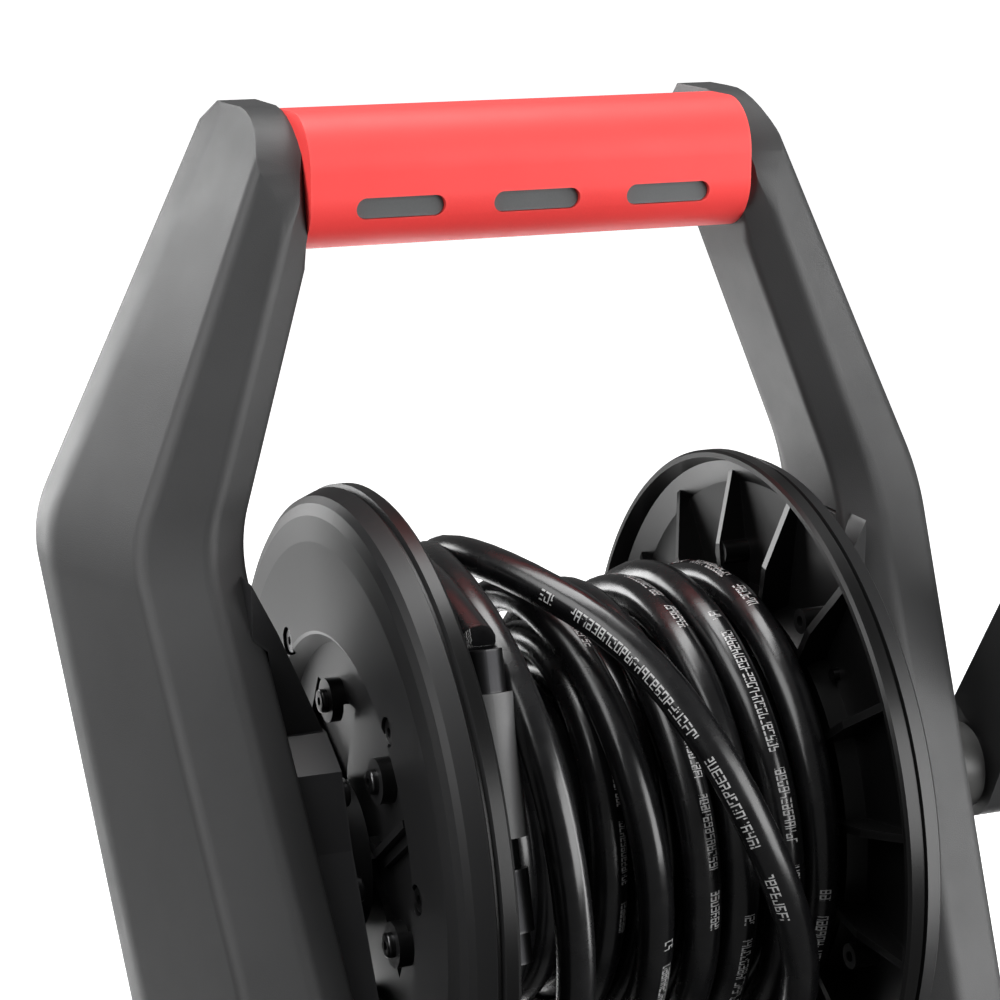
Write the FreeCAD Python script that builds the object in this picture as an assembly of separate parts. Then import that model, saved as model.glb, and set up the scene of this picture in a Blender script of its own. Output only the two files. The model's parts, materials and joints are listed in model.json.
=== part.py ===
import FreeCAD, Part
import math
import os

# Garden hose reel cart, millimetres.
# Everything is modelled about the drum: X along the drum axis towards the crank,
# Y towards the person who pulls the cart, Z up, zero on the drum axis midway
# between the flanges. The finished parts are then moved so that the floor is at
# Z = 0 and the cart's box is centred on X and Y.

Vector = FreeCAD.Vector
AXIS_X = Vector(1, 0, 0)
AXIS_Y = Vector(0, 1, 0)
AXIS_Z = Vector(0, 0, 1)

# --- driving dimensions ---------------------------------------------------
AXIS_HEIGHT = 380.0        # drum axis above the floor
FLANGE_RADIUS = 115.0
FLANGE_INNER_X = 61.0      # inner rim edge of each flange
FLANGE_FACE_X = 76.0       # outer face of each flange
CORE_RADIUS = 42.0
CORE_WALL = 3.5

FRAME_WALL = 3.0
GRIP_HALF_LENGTH = 74.0
HANDLE_TOP = 227.0         # top of the side frames above the drum axis
FRONT_ROUNDING = 36.5      # radius of the arms' rounded front top
ROUNDING_Y = 57.0
COVER_TOP = 92.0           # the covers end below the knee
FRAME_FOOT_Z = -350.0      # where the legs stand on the skids
SHAFT_RADIUS = 12.0
RUNNING_GAP = 0.05
BODY_GAP = 0.3
SEAT_GAP = 0.15            # between a bracket and the moulding it is screwed to

WHEEL_RADIUS = 80.0
WHEEL_Y = 95.0
WHEEL_Z = WHEEL_RADIUS - AXIS_HEIGHT
AXLE_RADIUS = 6.0

CRANK_LENGTH = 150.0
CRANK_LEAN = 26.0          # degrees from upright, away from the person
SHAFT_FLAT_Y = 7.4         # flat that stops the crank turning on the shaft

# Outline of one side frame at four levels, each listed from the inner front
# corner round the front, the outer side and the rear.
TOP_LEVEL = 232.0
KNEE_LEVEL = 100.0
HUB_LEVEL = -100.0
TOP_OUTLINE = [(57.0, 34.0), (68.6, 26.0), (81.0, 29.5), (84.5, 70.0),
               (86.0, 84.0), (80.0, 89.0), (64.0, 85.0), (57.0, 69.0)]
KNEE_OUTLINE = [(102.0, 9.0), (114.5, 2.5), (134.8, 11.0), (153.0, 50.0),
                (154.5, 66.0), (149.0, 72.0), (110.0, 64.0), (102.5, 45.0)]
FRONT_POINTS = 3           # the first points of an outline are its front
LEG_LEAN = 0.577           # forward lean of the leg, mm per mm down
LEG_REAR_LEAN = 0.42       # lean of its rear between knee and hub
LEG_TOE_IN = 0.09          # how the leg moves inwards as it goes down


# --- plain shapes ---------------------------------------------------------
def box(x_span, y_span, z_span):
    corner = Vector(x_span[0], y_span[0], z_span[0])
    return Part.makeBox(x_span[1] - x_span[0], y_span[1] - y_span[0],
                        z_span[1] - z_span[0], corner)


def rod(radius, x0, x1, y=0.0, z=0.0):
    return Part.makeCylinder(radius, x1 - x0, Vector(x0, y, z), AXIS_X)


def ring(outer, inner, x0, x1, y=0.0, z=0.0):
    return rod(outer, x0, x1, y, z).cut(rod(inner, x0 - 1, x1 + 1, y, z))


def rod_between(radius, start, end):
    start, end = Vector(*start), Vector(*end)
    return Part.makeCylinder(radius, (end - start).Length, start, end - start)


def turned(profile, y=0.0, z=0.0):
    """Solid of revolution about the X axis from (x, radius) points."""
    points = [Vector(x, 0, radius) for x, radius in profile]
    face = Part.Face(Part.makePolygon(points + points[:1]))
    solid = face.revolve(Vector(0, 0, 0), AXIS_X, 360)
    solid.translate(Vector(0, y, z))
    return solid


def plate_yz(points, x0, x1):
    """Flat plate square to X, from (y, z) points."""
    corners = [Vector(x0, y, z) for y, z in points]
    face = Part.Face(Part.makePolygon(corners + corners[:1]))
    return face.extrude(Vector(x1 - x0, 0, 0))


def plate_xz(points, y0, y1):
    """Flat plate square to Y, from (x, z) points."""
    corners = [Vector(x, y0, z) for x, z in points]
    face = Part.Face(Part.makePolygon(corners + corners[:1]))
    return face.extrude(Vector(0, y1 - y0, 0))


def joined(shapes):
    whole = shapes[0].multiFuse(shapes[1:])
    return whole.removeSplitter()


def other_side(shape):
    return shape.mirror(Vector(0, 0, 0), AXIS_X)


def around(shape, count, first=0.0):
    """Copies of a shape at equal steps about the drum axis."""
    copies = []
    for index in range(count):
        copy = shape.copy()
        copy.rotate(Vector(0, 0, 0), AXIS_X, first + 360.0 * index / count)
        copies.append(copy)
    return copies


def screw(head_radius, shank_radius, head_height, length, point, direction):
    """Pan-head screw: the head stands at point, the shank goes along direction."""
    along = Vector(*direction)
    base = Vector(*point)
    head = Part.makeCylinder(head_radius, head_height, base, along * -1)
    head = head.makeFillet(0.35 * head_height, [head.Edges[0]])
    socket_floor = base - along * (0.4 * head_height)
    socket = Part.makeCylinder(0.35 * head_radius, head_height, socket_floor, along * -1)
    shank = Part.makeCylinder(shank_radius, length, base, along)
    return head.cut(socket).fuse(shank).removeSplitter()


# --- side frames ----------------------------------------------------------
def leg_outline(outline, drop, rear_lean):
    moved = []
    for index, (x, y) in enumerate(outline):
        lean = LEG_LEAN if index < FRONT_POINTS else rear_lean
        moved.append((x - LEG_TOE_IN * drop, y - lean * drop))
    return moved


def frame_levels():
    hub = leg_outline(KNEE_OUTLINE, KNEE_LEVEL - HUB_LEVEL, LEG_REAR_LEAN)
    foot = leg_outline(hub, HUB_LEVEL - FRAME_FOOT_Z, LEG_LEAN)
    return [(FRAME_FOOT_Z, foot), (HUB_LEVEL, hub), (KNEE_LEVEL, KNEE_OUTLINE), (TOP_LEVEL, TOP_OUTLINE)]


def inset(outline, distance):
    """The outline moved inwards by a distance; the outline runs anticlockwise."""
    count = len(outline)
    lines = []
    for index in range(count):
        (x0, y0), (x1, y1) = outline[index], outline[(index + 1) % count]
        length = math.hypot(x1 - x0, y1 - y0)
        nx, ny = -(y1 - y0) / length, (x1 - x0) / length
        lines.append((nx, ny, nx * x0 + ny * y0 + distance))
    corners = []
    for index in range(count):
        a0, b0, c0 = lines[index - 1]
        a1, b1, c1 = lines[index]
        scale = a0 * b1 - a1 * b0
        corners.append(((c0 * b1 - c1 * b0) / scale, (a0 * c1 - a1 * c0) / scale))
    return corners


def inner_wall(outline, reach_out, reach_in, end_gap):
    """Cross-section of a strip along the inner side of an outline."""
    (x0, y0), (x1, y1) = outline[0], outline[-1]
    length = math.hypot(x1 - x0, y1 - y0)
    ex, ey = (x1 - x0) / length, (y1 - y0) / length
    nx, ny = ey, -ex
    near = (x0 + ex * end_gap, y0 + ey * end_gap)
    far = (x1 - ex * end_gap, y1 - ey * end_gap)
    return [(near[0] - nx * reach_out, near[1] - ny * reach_out),
            (near[0] + nx * reach_in, near[1] + ny * reach_in),
            (far[0] + nx * reach_in, far[1] + ny * reach_in),
            (far[0] - nx * reach_out, far[1] - ny * reach_out)]


def through_levels(levels):
    wires = []
    for level, outline in levels:
        points = [Vector(x, y, level) for x, y in outline]
        wires.append(Part.makePolygon(points + points[:1]))
    return Part.makeLoft(wires, True, True)


def frame_envelope(margin):
    """Limits of a side frame: flat foot, rounded front top, sloped outer top."""
    top = HANDLE_TOP - margin
    inner = GRIP_HALF_LENGTH + margin
    front = plate_xz([(0, FRAME_FOOT_Z), (0, 170), (inner, 170), (inner, top),
                      (86.5 - margin, top), (105 - margin, 199 - margin), (200, 199 - margin),
                      (200, FRAME_FOOT_Z)], -400, 200)
    centre_y, centre_z = ROUNDING_Y, HANDLE_TOP - FRONT_ROUNDING
    radius = FRONT_ROUNDING - margin
    side_45 = math.sqrt(0.5)
    rounding = Part.Arc(Vector(0, centre_y - radius, centre_z),
                        Vector(0, centre_y - side_45 * radius, centre_z + side_45 * radius),
                        Vector(0, centre_y, centre_z + radius)).toShape()
    rest = Part.makePolygon([Vector(0, centre_y, centre_z + radius), Vector(0, 76 - margin, top),
                             Vector(0, 96 - margin, top - 20), Vector(0, 200, top - 20),
                             Vector(0, 200, FRAME_FOOT_Z), Vector(0, -400, FRAME_FOOT_Z),
                             Vector(0, -400, centre_z), Vector(0, centre_y - radius, centre_z)])
    side = Part.Face(Part.Wire([rounding] + rest.Edges)).extrude(Vector(200, 0, 0))
    return front.common(side)


def frame_block():
    """The right side frame as a filled block."""
    return through_levels(frame_levels()).common(frame_envelope(0.0))


def frame_clearance():
    """The block with a hair of room round it, for cutting its neighbours."""
    return through_levels([(level, inset(outline, -SEAT_GAP)) for level, outline in frame_levels()])


def frame_shell(block):
    levels = frame_levels()
    hollow = through_levels([(level, inset(outline, FRAME_WALL)) for level, outline in levels])
    hollow = hollow.common(frame_envelope(FRAME_WALL))
    slot = through_levels([(level, inner_wall(outline, 2.0, FRAME_WALL + 0.4, 0.0))
                           for level, outline in levels])
    slot = slot.common(box((0, 200), (-400, 200), (FRAME_FOOT_Z - 1, COVER_TOP + BODY_GAP)))
    return block.cut(hollow).cut(slot)


def frame_cover():
    levels = frame_levels()
    cover = through_levels([(level, inner_wall(outline, 0.0, FRAME_WALL, 0.2))
                            for level, outline in levels])
    return cover.common(box((0, 200), (-400, 200), (FRAME_FOOT_Z, COVER_TOP)))


def inner_side_point(level):
    """Middle of the inner side of the frame at a level."""
    levels = frame_levels()
    for (low, low_outline), (high, high_outline) in zip(levels, levels[1:]):
        if low <= level <= high:
            share = (level - low) / (high - low)
            ends = []
            for corner in (0, -1):
                x = low_outline[corner][0] * (1 - share) + high_outline[corner][0] * share
                y = low_outline[corner][1] * (1 - share) + high_outline[corner][1] * share
                ends.append((x, y))
            return (ends[0][0] + ends[1][0]) / 2, (ends[0][1] + ends[1][1]) / 2
    raise ValueError("level outside the frame")


def cover_screws():
    screws = []
    for level in (-225.0, -280.0, -330.0):
        x, y = inner_side_point(level)
        screws.append(screw(3.6, 1.8, 2.2, 12.0, (x - 0.1, y, level), (1, 0, 0)))
    return screws


# --- handle ---------------------------------------------------------------
GRIP_CENTRE_Y = 43.5
CORE_HALF_LENGTH = 79.0
CORE_SECTION = (12.0, 11.0, 5.0)       # half depth, half height, corner radius
GRIP_CENTRE_Z = HANDLE_TOP - 21.5
GRIP_HALF_DEPTH = 23.0
GRIP_HALF_HEIGHT = 21.0
GRIP_CORNER = 17.0
SPLIT_GAP = 0.05           # each grip half stops this far from the middle
SLOT_STEP = 45.0
SLOT_LENGTH = 29.0
SLOT_HEIGHT = 6.6
SLOT_Z = GRIP_CENTRE_Z - 7.5


def rounded_bar(half_depth, half_height, corner, x0, x1):
    bar = box((x0, x1), (GRIP_CENTRE_Y - half_depth, GRIP_CENTRE_Y + half_depth),
              (GRIP_CENTRE_Z - half_height, GRIP_CENTRE_Z + half_height))
    long_edges = [edge for edge in bar.Edges if abs(edge.Length - (x1 - x0)) < 0.01]
    return bar.makeFillet(corner, long_edges)


def stadium(length, height, x, y0, y1):
    middle = box((x - (length - height) / 2, x + (length - height) / 2), (y0, y1),
                 (SLOT_Z - height / 2, SLOT_Z + height / 2))
    ends = []
    for side in (-1, 1):
        centre = Vector(x + side * (length - height) / 2, y0, SLOT_Z)
        ends.append(Part.makeCylinder(height / 2, y1 - y0, centre, AXIS_Y))
    return joined([middle] + ends)


def handle_parts():
    core = rounded_bar(*CORE_SECTION, -CORE_HALF_LENGTH, CORE_HALF_LENGTH)
    core = core.cut(rounded_bar(9.5, 8.5, 3.0, -CORE_HALF_LENGTH - 1, CORE_HALF_LENGTH + 1))
    whole = rounded_bar(GRIP_HALF_DEPTH, GRIP_HALF_HEIGHT, GRIP_CORNER, -GRIP_HALF_LENGTH, GRIP_HALF_LENGTH)
    whole = whole.cut(rounded_bar(12.1, 11.1, 5.0, -GRIP_HALF_LENGTH - 1, GRIP_HALF_LENGTH + 1))
    front_half = box((-80, 80), (0, GRIP_CENTRE_Y - SPLIT_GAP), (150, 250))
    rear_half = box((-80, 80), (GRIP_CENTRE_Y + SPLIT_GAP, 90), (150, 250))
    front = whole.common(front_half)
    rear = whole.common(rear_half)
    inserts = []
    front_y = GRIP_CENTRE_Y - GRIP_HALF_DEPTH
    for x in (-SLOT_STEP, 0.0, SLOT_STEP):
        front = front.cut(stadium(SLOT_LENGTH, SLOT_HEIGHT, x, front_y - 5, front_y + 3.5))
        inserts.append(stadium(SLOT_LENGTH - 0.4, SLOT_HEIGHT - 0.4, x, front_y + 2.0, front_y + 3.5))
    screws = []
    rear_y = GRIP_CENTRE_Y + GRIP_HALF_DEPTH
    for x in (-50.0, 0.0, 50.0):
        pocket = Part.makeCylinder(4.2, 10.0, Vector(x, rear_y - 4.0, GRIP_CENTRE_Z), AXIS_Y)
        hole = Part.makeCylinder(1.9, 12.0, Vector(x, rear_y - 14.0, GRIP_CENTRE_Z), AXIS_Y)
        rear = rear.cut(pocket).cut(hole)
        screws.append(screw(3.6, 1.8, 2.4, 6.5, (x, rear_y - 4.0, GRIP_CENTRE_Z), (0, -1, 0)))
    return core, front, rear, inserts, screws


# --- hub carriers and bearings ---------------------------------------------
CARRIER_X = 82.0
BUSH_RADIUS = 16.0
CRANK_BUSH_RADIUS = 14.5
BOSS_X = 72.5
CARRIER_OUTLINE = [(34, 44), (-10, 44), (-24, 36), (-33, 14), (-62, -36), (-76, -66), (-20, -66), (34, -34)]
CARRIER_SCREWS = [(-22.0, 28.0), (-34.0, 2.0), (-52.0, -30.0), (-60.0, -55.0)]


def hub_carrier(room):
    plate = plate_yz(CARRIER_OUTLINE, CARRIER_X, CARRIER_X + 22)
    slope = plate_xz([(CARRIER_X, 43), (CARRIER_X + 22, 43), (CARRIER_X + 22, 92),
                      (CARRIER_X + 14, 76)], -8, 30)
    carrier = joined([plate, slope, rod(24.0, BOSS_X, CARRIER_X + 1)])
    carrier = carrier.cut(rod(BUSH_RADIUS, BOSS_X - 1, 130)).cut(room)
    return carrier.cut(Part.makeCompound(carrier_screws()))


def carrier_screws():
    return [screw(4.0, 2.0, 2.4, 16.0, (CARRIER_X - 0.05, y, z), (1, 0, 0)) for y, z in CARRIER_SCREWS]


def bush(x0, x1):
    collar = ring(19.0, SHAFT_RADIUS + RUNNING_GAP, x0 - 1.6, x0)
    sleeve = ring(BUSH_RADIUS, SHAFT_RADIUS + RUNNING_GAP, x0, x1)
    return joined([collar, sleeve])


# --- drum -----------------------------------------------------------------
RIB_COUNT = 16
FACE_SCREW_RADIUS = 73.0
BOSS_SCREW_RADIUS = 48.0
BOSS_TOP_X = 74.6
SINK_DEPTH = 2.6
FACE_ANGLES = (41.0, 80.5)     # degrees from straight up, away from the person
BOSS_ANGLES = (43.5, -15.5)
PEG_RADIUS = 81.0              # moulded pegs between the ribs
PEG_ANGLES = (-11.25, 29.0)
HUB_CLEAR_RADIUS = 25.5        # room for the bearing boss in the recess
RECESS_RIB = [(12.0, 22.0), (-28.0, 11.5), (-52.0, 29.0), (-53.0, 27.0), (-28.0, 8.5), (13.0, 19.5)]
RECESS_POCKET = [(6.0, 14.0), (-28.0, 5.0), (-49.0, 20.0), (-58.0, 6.0), (-40.0, -26.0), (-26.0, -8.0)]


def flange():
    """Right flange: dished cover with a stepped rim, a central recess and ribs."""
    wall = turned([(70, SHAFT_RADIUS), (70, 66), (FLANGE_FACE_X - 0.5, 69), (FLANGE_FACE_X, 70),
                   (76.4, 98), (75.9, 106), (74.8, 109.8), (73.2, 112.0), (67.8, 114.2),
                   (67.2, 113.2), (66.4, 113.2), (65.8, FLANGE_RADIUS), (62.0, FLANGE_RADIUS),
                   (FLANGE_INNER_X, 114.2), (FLANGE_INNER_X, 112.6), (67.0, 111.0),
                   (71.6, 104), (72.6, 70.2), (66.6, 68), (66.0, CORE_RADIUS + 2), (66.0, 26),
                   (52.0, 20), (52.0, SHAFT_RADIUS)])
    rib = plate_xz([(68.0, 43.5), (62.5, 43.5), (62.5, 84.0), (69.5, 109.0), (73.5, 109.0),
                    (74.0, 104.0), (74.0, 70.0), (68.0, 66.0)], -1.3, 1.3)
    ribs = around(rib, RIB_COUNT, 11.25)
    lobe = ring(7.0, 2.1, 66.5, BOSS_TOP_X, 0, BOSS_SCREW_RADIUS)
    bosses = around(lobe, 3, BOSS_ANGLES[0]) + around(lobe, 3, BOSS_ANGLES[1])
    peg = ring(4.0, 1.8, 63.5, 73.0, 0, PEG_RADIUS)
    pegs = around(peg, 3, PEG_ANGLES[0]) + around(peg, 3, PEG_ANGLES[1])
    recess_rib = plate_yz(RECESS_RIB, 69.0, 73.0).cut(rod(HUB_CLEAR_RADIUS, 60, 80))
    recess_ribs = around(recess_rib, 3)
    pockets = around(plate_yz(RECESS_POCKET, 67.4, 71.0), 3)
    body = joined([wall] + ribs + bosses + pegs + recess_ribs)
    body = body.cut(Part.makeCompound(pockets))
    sink = rod(4.6, FLANGE_FACE_X - SINK_DEPTH, 80, 0, FACE_SCREW_RADIUS)
    sinks = around(sink, 3, FACE_ANGLES[0]) + around(sink, 3, FACE_ANGLES[1])
    return body.cut(Part.makeCompound(sinks)).cut(Part.makeCompound(flange_screws()))


def flange_screws():
    """Three pairs in the recess bosses and three pairs sunk in the face."""
    boss = screw(3.8, 2.0, 2.2, 12.0, (BOSS_TOP_X, 0, BOSS_SCREW_RADIUS), (-1, 0, 0))
    face = screw(4.0, 2.0, 2.0, 3.0, (FLANGE_FACE_X - SINK_DEPTH, 0, FACE_SCREW_RADIUS), (-1, 0, 0))
    screws = []
    for angle in BOSS_ANGLES:
        screws += around(boss, 3, angle)
    for angle in FACE_ANGLES:
        screws += around(face, 3, angle)
    return screws


OUTLET_X = -38.0


def drum_core():
    tube = ring(CORE_RADIUS, CORE_RADIUS - CORE_WALL, -62.4, 62.4)
    spider = ring(CORE_RADIUS - 1, SHAFT_RADIUS, -3.0, 3.0)
    return joined([tube, spider]).cut(rod_between(7.5, (OUTLET_X, 0, 30), (OUTLET_X, 0, 50)))


def axle_stub():
    """Hollow left journal: water passes through it into the drum."""
    stub = ring(SHAFT_RADIUS, 6.5, -125.0, -3.0)
    for x in (-121.0, -115.0):
        stub = stub.cut(ring(SHAFT_RADIUS + 1, 10.4, x - 1.2, x + 1.2))
    return stub.cut(rod_between(6.5, (OUTLET_X, 0, 0), (OUTLET_X, 0, 20)))


def seal_rings():
    return [Part.makeTorus(11.2, 0.8, Vector(x, 0, 0), AXIS_X) for x in (-121.0, -115.0)]


def outlet_elbow():
    neck = rod_between(6.4, (OUTLET_X, 0, SHAFT_RADIUS - 2.5), (OUTLET_X, 0, CORE_RADIUS - 0.4))
    nut = Part.makeCylinder(9.5, 7.0, Vector(OUTLET_X, 0, 28.0), AXIS_Z)
    elbow = joined([neck, nut]).cut(rod_between(3.5, (OUTLET_X, 0, 5), (OUTLET_X, 0, 50)))
    return elbow.cut(rod(SHAFT_RADIUS, -70, -10))


def drive_shaft():
    journal = rod(SHAFT_RADIUS, 3.0, 150.5)
    end = rod(8.95, 149.0, 168.0)
    flat = box((150.5, 170.0), (SHAFT_FLAT_Y, 12.0), (-12, 12))
    shaft = joined([journal, end]).cut(flat)
    return leaned(shaft.cut(rod(2.5, 150.0, 169.0)))


# --- crank, built upright and then leaned ----------------------------------
def leaned(shape):
    copy = shape.copy()
    copy.rotate(Vector(0, 0, 0), AXIS_X, CRANK_LEAN)
    return copy


def crank_arm():
    side = plate_xz([(150.6, -24), (150.6, 14), (160.6, 130), (160.6, 170), (173.5, 170),
                     (173.5, 132), (166.5, 14), (166.5, -24)], -30, 30)
    hub = rod(18.0, 140, 190)
    tip = rod(14.0, 140, 190, 0, CRANK_LENGTH)
    waist = plate_yz([(-18, 0), (18, 0), (14, CRANK_LENGTH), (-14, CRANK_LENGTH)], 140, 190)
    arm = side.common(joined([hub, tip, waist]))
    bore = rod(9.0, 149, 168).cut(box((149, 170), (SHAFT_FLAT_Y, 12.0), (-12, 12)))
    return leaned(arm.cut(bore).cut(rod(5.0, 150, 190, 0, CRANK_LENGTH)))


def crank_screw():
    return leaned(screw(6.0, 2.5, 3.0, 14.0, (168.2, 0, 0), (-1, 0, 0)))


def crank_pin():
    shank = rod(5.0, 160.6, 254.0, 0, CRANK_LENGTH)
    head = rod(8.0, 157.6, 160.6, 0, CRANK_LENGTH)
    clip = rod(7.0, 254.0, 256.0, 0, CRANK_LENGTH)
    return leaned(joined([shank, head, clip]))


def crank_grip():
    body = turned([(174.4, 5.0 + RUNNING_GAP), (174.4, 12.5), (177, 14.0), (196, 14.6), (222, 16.0),
                   (244, 15.0), (256.0, 12.6), (260.0, 11.0), (260.0, 8.0), (253.6, 8.0),
                   (253.6, 5.0 + RUNNING_GAP)], 0, CRANK_LENGTH)
    return leaned(body)


def crank_grip_cap():
    cap = turned([(257.0, 0.0), (257.0, 7.8), (260.2, 7.8), (260.2, 10.6), (262.6, 8.6), (264.0, 4.0),
                  (264.2, 0.0)], 0, CRANK_LENGTH)
    return leaned(cap)


# --- water inlet in the left leg --------------------------------------------
INLET_X = -112.0
INLET_Z = -90.0
INLET_WALL_Y = -9.0        # rear wall of the leg at the inlet
INLET_CORNER_Y = -46.0
NIPPLE_RADIUS = 13.2
NIPPLE_END_Y = 19.0
INLET_HOLE_RADIUS = 12.0


def inlet_elbow():
    barrel = rod(17.0, -128.0, -108.0)
    corner = (INLET_X, INLET_CORNER_Y, INLET_Z)
    pipe = rod_between(8.0, (-116.0, 0.0, -10.0), corner)
    knuckle = Part.makeSphere(9.0, Vector(*corner))
    tail = rod_between(8.0, corner, (INLET_X, INLET_WALL_Y - 9.0, INLET_Z))
    body = joined([barrel, pipe, knuckle, tail])
    bore = rod(SHAFT_RADIUS + RUNNING_GAP, -125.5, -107.0)
    channel = rod_between(5.0, (-116.0, 0.0, -5.0), corner)
    outlet = rod_between(5.0, corner, (INLET_X, INLET_WALL_Y - 5.0, INLET_Z))
    return body.cut(bore).cut(channel).cut(outlet)


def inlet_nipple():
    hexagon = []
    for index in range(6):
        angle = math.radians(60 * index)
        x = INLET_X + 16.5 * math.cos(angle)
        z = INLET_Z + 16.5 * math.sin(angle)
        hexagon.append(Vector(x, INLET_WALL_Y + 4.5, z))
    collar = Part.Face(Part.makePolygon(hexagon + hexagon[:1])).extrude(Vector(0, 5.5, 0))
    thread = rod_between(NIPPLE_RADIUS, (INLET_X, INLET_WALL_Y + 10.0, INLET_Z),
                         (INLET_X, NIPPLE_END_Y, INLET_Z))
    neck = rod_between(11.8, (INLET_X, INLET_WALL_Y - 8.5, INLET_Z), (INLET_X, INLET_WALL_Y + 4.5, INLET_Z))
    nipple = joined([collar, thread, neck])
    bore = rod_between(8.05, (INLET_X, INLET_WALL_Y - 9.0, INLET_Z), (INLET_X, NIPPLE_END_Y + 1.0, INLET_Z))
    return nipple.cut(bore)


def inlet_hole():
    return rod_between(INLET_HOLE_RADIUS, (INLET_X, INLET_WALL_Y - 20.0, INLET_Z),
                       (INLET_X, INLET_WALL_Y + 20.0, INLET_Z))


# --- chassis ----------------------------------------------------------------
STRUT_X = (94.0, 116.0)
EAR_X = 78.0
BEAM_Y = (-128.0, -92.0)
BEAM_Z = (-188.0, -152.0)
SKID_Z = (-374.0, -350.0)


def rear_strut(room):
    arm = plate_yz([(-60, -96), (-14, -106), (112, -286), (86, -320), (-60, -206), (-100, -192)], *STRUT_X)
    ear = plate_yz([(-86, -112), (-14, -106), (22, -158), (-58, -205), (-124, -186)], EAR_X, STRUT_X[0] + 2)
    boss = rod(22.0, STRUT_X[0], STRUT_X[1], WHEEL_Y, WHEEL_Z)
    strut = joined([arm, ear, boss])
    window = plate_yz([(30, -186), (66, -242), (52, -264), (-6, -214)], STRUT_X[1] - 8, STRUT_X[1] + 1)
    strut = strut.cut(window).cut(rod(AXLE_RADIUS, 80, 130, WHEEL_Y, WHEEL_Z)).cut(room)
    return strut.cut(Part.makeCompound(strut_bolts()))


def cross_beam(room):
    beam = box((-EAR_X, EAR_X), BEAM_Y, BEAM_Z)
    beam = beam.makeFillet(7.0, [edge for edge in beam.Edges if abs(edge.Length - 2 * EAR_X) < 0.01])
    inside = box((-EAR_X - 1, EAR_X + 1), (BEAM_Y[0] + 3, BEAM_Y[1] - 3), (BEAM_Z[0] + 3, BEAM_Z[1] - 3))
    return beam.cut(inside).cut(room).cut(other_side(room))


def foot_skid():
    skid = box((56.0, 120.0), (-264.0, -150.0), SKID_Z)
    upright = [edge for edge in skid.Edges if abs(edge.Length - (SKID_Z[1] - SKID_Z[0])) < 0.01]
    skid = skid.makeFillet(10.0, upright)
    for y_span in ((-256.0, -209.0), (-205.0, -158.0)):
        skid = skid.cut(box((62.0, 114.0), y_span, (SKID_Z[0] - 1, SKID_Z[0] + 16)))
    return skid


def foot_pads():
    pads = []
    for side in (-1, 1):
        for y in (-246.0, -168.0):
            pads.append(Part.makeCylinder(11.0, 6.0, Vector(side * 88.0, y, SKID_Z[0] - 6.0), AXIS_Z))
    return pads


def pad_posts():
    posts = []
    for y in (-246.0, -168.0):
        posts.append(Part.makeCylinder(9.0, 16.5, Vector(88.0, y, SKID_Z[0]), AXIS_Z))
    return posts


def foot_bar():
    bar = box((-56.0, 56.0), (-256.0, -218.0), (-372.0, -352.0))
    long_edges = [edge for edge in bar.Edges if abs(edge.Length - 112.0) < 0.01]
    return bar.makeFillet(5.0, long_edges)


def strut_bolts():
    """Bolts through each strut's ear into the leg."""
    bolts = []
    for y, z in ((-74.0, -128.0), (-84.0, -150.0), (-100.0, -172.0)):
        bolts.append(screw(5.0, 2.5, 3.0, 18.0, (EAR_X - 0.05, y, z), (1, 0, 0)))
    return bolts


# --- wheels -------------------------------------------------------------------
WHEEL_X = (122.0, 156.0)


def wheel_hub():
    x0, x1 = WHEEL_X
    profile = [(x0 - 3.5, AXLE_RADIUS + RUNNING_GAP), (x0 - 3.5, 15), (x0 + 8, 17), (x0 + 10, 52),
               (x0 + 3, 56), (x0 + 3, 64), (x0 + 9, 62), (x1 - 9, 62), (x1 - 3, 64), (x1 - 3, 56),
               (x1 - 14, 52), (x1 - 12, 17), (x1 + 1, 15), (x1 + 1, AXLE_RADIUS + RUNNING_GAP)]
    wheel = turned(profile)
    for hole in around(rod(10.5, x0 - 10, x1 + 10, 0, 34.0), 6):
        wheel = wheel.cut(hole)
    wheel.translate(Vector(0, WHEEL_Y, WHEEL_Z))
    return wheel


def tyre():
    x0, x1 = WHEEL_X
    profile = [(x0 + 2.8, 64.3), (x0, 68), (x0 + 1.5, 75), (x0 + 7, 79), (x0 + 12, WHEEL_RADIUS),
               (x1 - 12, WHEEL_RADIUS), (x1 - 7, 79), (x1 - 1.5, 75), (x1, 68), (x1 - 2.8, 64.3),
               (x1 - 9, 62.2), (x0 + 9, 62.2)]
    return turned(profile, WHEEL_Y, WHEEL_Z)


def wheel_cap():
    x1 = WHEEL_X[1]
    return turned([(x1 + 1.0, 13.2), (x1 + 1.0, 15.0), (x1 + 7, 14.0), (x1 + 10, 9.0), (x1 + 11, 0.0),
                   (x1 + 9.4, 0.0), (x1 + 8.6, 8.0), (x1 + 5.6, 12.4)], WHEEL_Y, WHEEL_Z)


def wheel_axle():
    bar = rod(AXLE_RADIUS, -161.5, 161.5, WHEEL_Y, WHEEL_Z)
    rims = [edge for edge in bar.Edges if abs(edge.Length - 2 * math.pi * AXLE_RADIUS) < 0.1]
    return bar.makeChamfer(1.0, rims)


def axle_clips():
    return [ring(9.0, AXLE_RADIUS, 157.6, 158.8, WHEEL_Y, WHEEL_Z),
            ring(9.0, AXLE_RADIUS, -158.8, -157.6, WHEEL_Y, WHEEL_Z)]


# --- hose ---------------------------------------------------------------------
FITTING_X = -51.5
FITTING_TOP = (-57.5, 80.0)
FITTING_BOTTOM = (-83.0, -7.0)
SLEEVE_SHARE = (0.14, 0.6)     # where the sleeve lies along the fitting


def hose_winding():
    inner = CORE_RADIUS + 0.3
    return turned([(-57, inner), (-57, 64), (-41, 66), (-37, 79), (57, 79), (57, inner)])


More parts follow.
